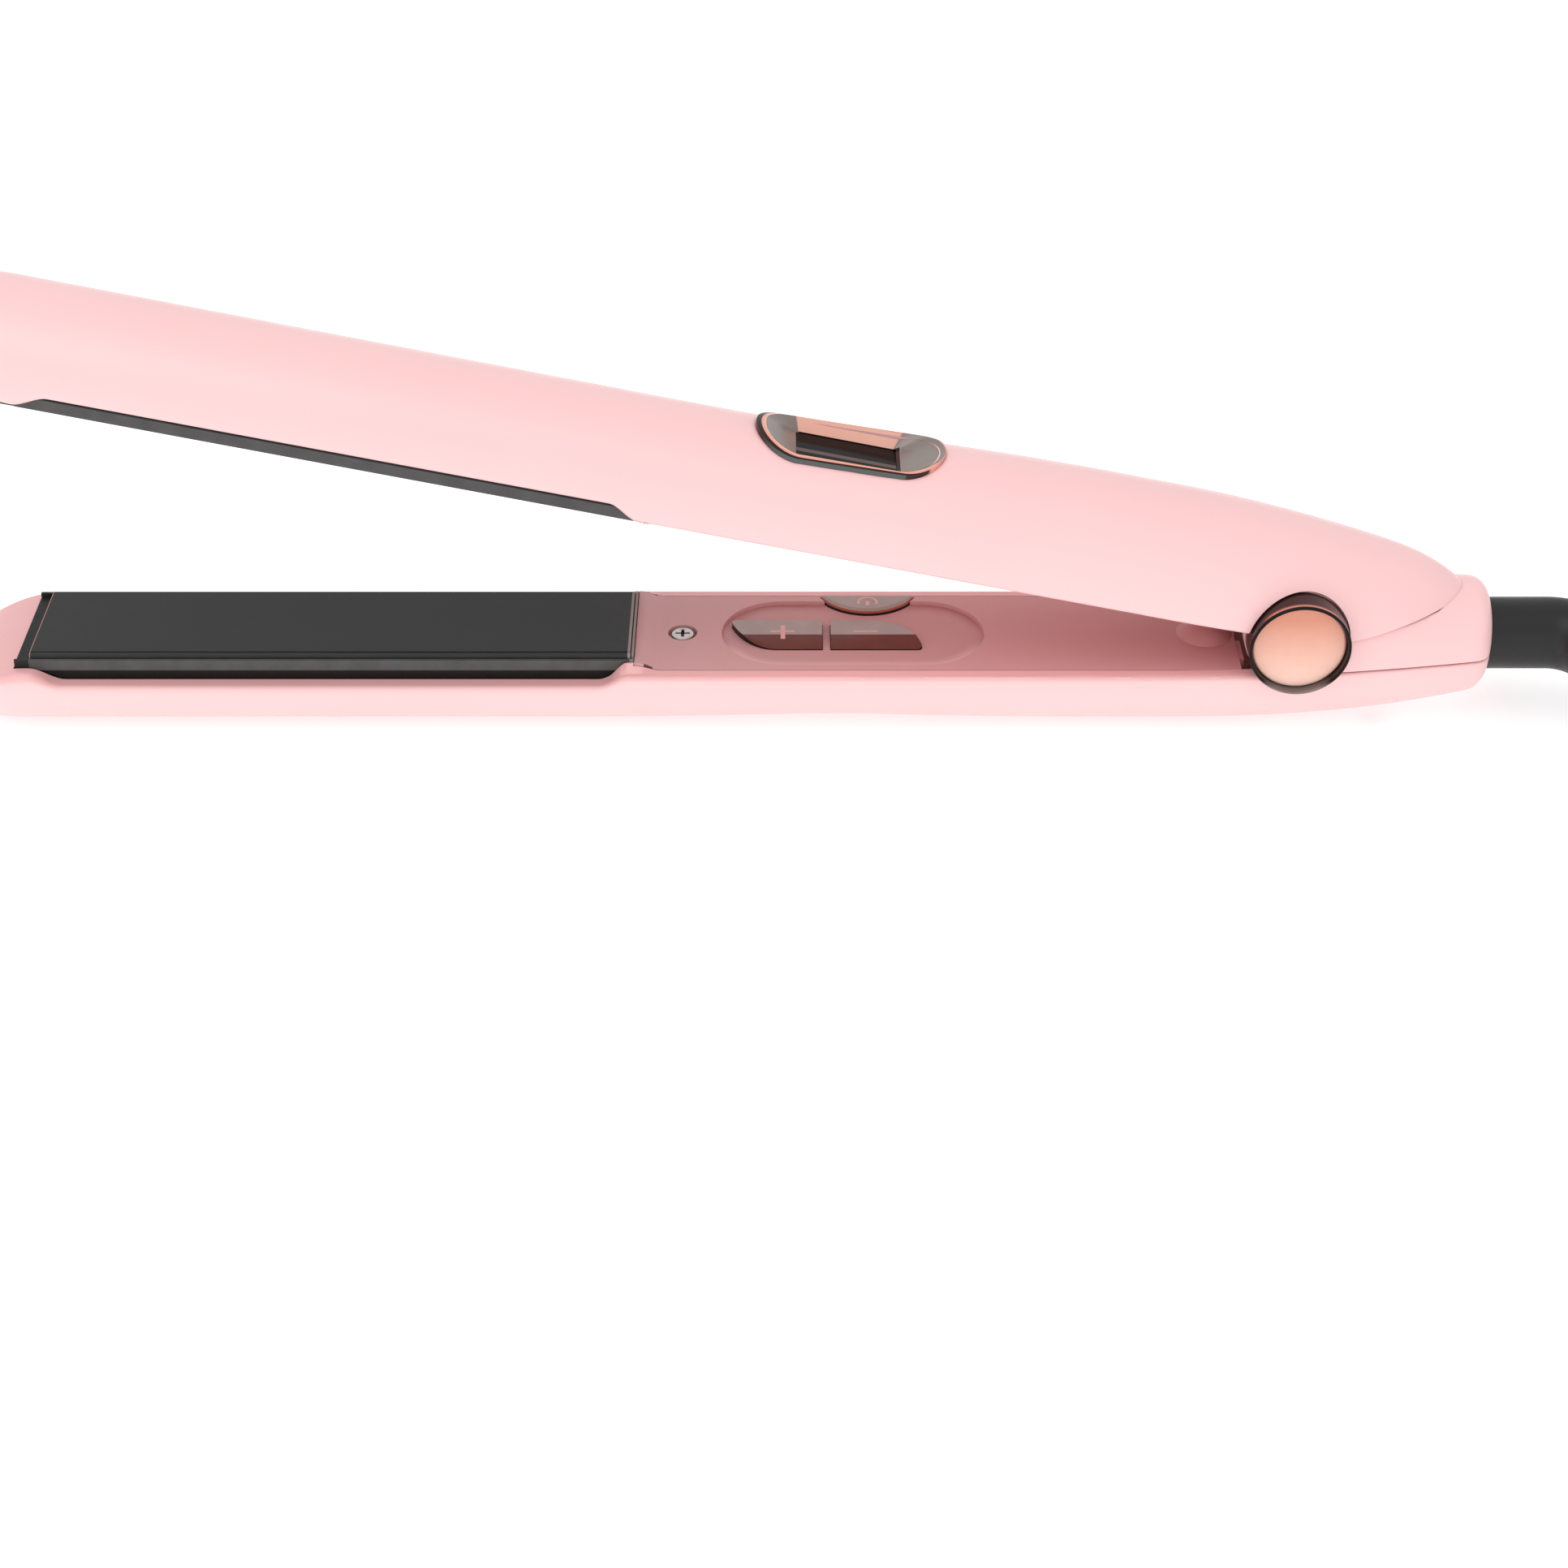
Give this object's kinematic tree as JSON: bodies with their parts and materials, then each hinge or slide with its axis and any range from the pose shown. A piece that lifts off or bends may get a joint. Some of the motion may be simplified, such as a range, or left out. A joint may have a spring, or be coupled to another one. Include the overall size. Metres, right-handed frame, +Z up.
{
  "type": "hair straightener",
  "caption": "Flat iron with two hinged arms, dark coated heating plates, push buttons, a small display window, and a swivel cord folded up behind it.",
  "frame": {"origin": "bottom centre of the iron's own box without its cord: under the middle of the lower arm, on the plane it lies on", "axes": "+X along the lower arm from its nose towards the cord end, -Y towards the viewer, +Z up, away from the plane it lies on"},
  "size_m": [0.4796, 0.0865, 0.0875],
  "materials": {
    "shell_gloss": "satin pink lacquer",
    "cover_gloss": "deeper pink, satin",
    "plate_coating": "dark ceramic coating",
    "holder_black": "heat-proof, matte",
    "heater_ceramic": "plain",
    "clip_steel": "spring steel",
    "silicone": "silicone, matte",
    "fuse_glass": "plain",
    "wire_insulation": "silicone insulation",
    "screw_zinc": "zinc plated",
    "board_green": "circuit board",
    "switch_black": "plain",
    "button_brown": "warm grey, soft touch",
    "dark_chrome": "dark polished",
    "rose_gold": "rose-gold, satin",
    "pin_steel": "ground",
    "bush_nylon": "nylon",
    "cord_rubber": "black, matte",
    "cord_pvc": "black, satin",
    "tie_black": "black, matte",
    "pin_brass": "bright",
    "lens_black": "high gloss"
  },
  "bodies": {
    "lower_arm": {"lower_shell": "shell_gloss", "lower_inner_cover": "cover_gloss", "lower_plate_holder": "holder_black", "lower_plate_cushions": "silicone", "lower_thermal_fuse": "fuse_glass", "lower_thermistor": "fuse_glass", "lower_lead_wires": "wire_insulation", "lower_cover_screw": "screw_zinc", "control_board": "board_green", "tact_switches": "switch_black", "rear_cap": "shell_gloss", "rear_cap_screws": "screw_zinc", "hinge_ring_left": "dark_chrome", "hinge_ring_right": "dark_chrome", "hinge_disc_left": "rose_gold", "hinge_disc_right": "rose_gold", "hinge_pin": "pin_steel", "opening_spring": "pin_steel", "swivel_clip": "clip_steel"},
    "lower_heating": {"lower_plate": "plate_coating", "lower_heater": "heater_ceramic", "lower_heater_clip": "clip_steel"},
    "upper_arm": {"upper_shell": "shell_gloss", "upper_inner_cover": "cover_gloss", "upper_plate_holder": "holder_black", "upper_plate_cushions": "silicone", "upper_thermistor": "fuse_glass", "upper_lead_wires": "wire_insulation", "upper_cover_screw": "screw_zinc", "display_bezel": "dark_chrome", "display_lens": "lens_black", "display_board": "board_green", "hinge_bushes": "bush_nylon"},
    "upper_heating": {"upper_plate": "plate_coating", "upper_heater": "heater_ceramic", "upper_heater_clip": "clip_steel"},
    "plus_key": {"plus_button": "button_brown"},
    "minus_key": {"minus_button": "button_brown"},
    "power_key": {"power_button": "button_brown"},
    "cord": {"swivel_sleeve": "cord_rubber", "strain_relief": "cord_rubber", "cord_tube": "cord_pvc", "cord_hank": "cord_pvc", "cord_end_tube": "cord_pvc", "cord_tie": "tie_black", "plug_body": "cord_rubber", "plug_pins": "pin_brass"}
  },
  "joints": [
    {"name": "arm_hinge", "type": "hinge", "parent": "lower_arm", "child": "upper_arm", "pos_m": [0.10656, 0, 0.0222], "axis": [0, -1, 0], "range_deg": [0, 12.4], "stiffness_Nm_per_rad": 0.6, "springref_deg": -22.92},
    {"name": "lower_plate_float", "type": "slide", "parent": "lower_arm", "child": "lower_heating", "axis": [0, 0, -1], "range_m": [0, 0.0005], "stiffness_N_per_m": 4000, "springref_m": -0.0003},
    {"name": "upper_plate_float", "type": "slide", "parent": "upper_arm", "child": "upper_heating", "axis": [0.2079, 0, 0.9781], "range_m": [0, 0.0005], "stiffness_N_per_m": 4000, "springref_m": -0.0003},
    {"name": "plus_press", "type": "slide", "parent": "lower_arm", "child": "plus_key", "axis": [0, 0, -1], "range_m": [0, 0.0005], "stiffness_N_per_m": 1500, "springref_m": -0.0003},
    {"name": "minus_press", "type": "slide", "parent": "lower_arm", "child": "minus_key", "axis": [0, 0, -1], "range_m": [0, 0.0005], "stiffness_N_per_m": 1500, "springref_m": -0.0003},
    {"name": "power_press", "type": "slide", "parent": "lower_arm", "child": "power_key", "axis": [0, 0, -1], "range_m": [0, 0.0005], "stiffness_N_per_m": 1500, "springref_m": -0.0003},
    {"name": "cord_swivel", "type": "hinge", "parent": "lower_arm", "child": "cord", "pos_m": [0.14371, 0, 0.0155], "axis": [1, 0, 0], "continuous": true}
  ]
}
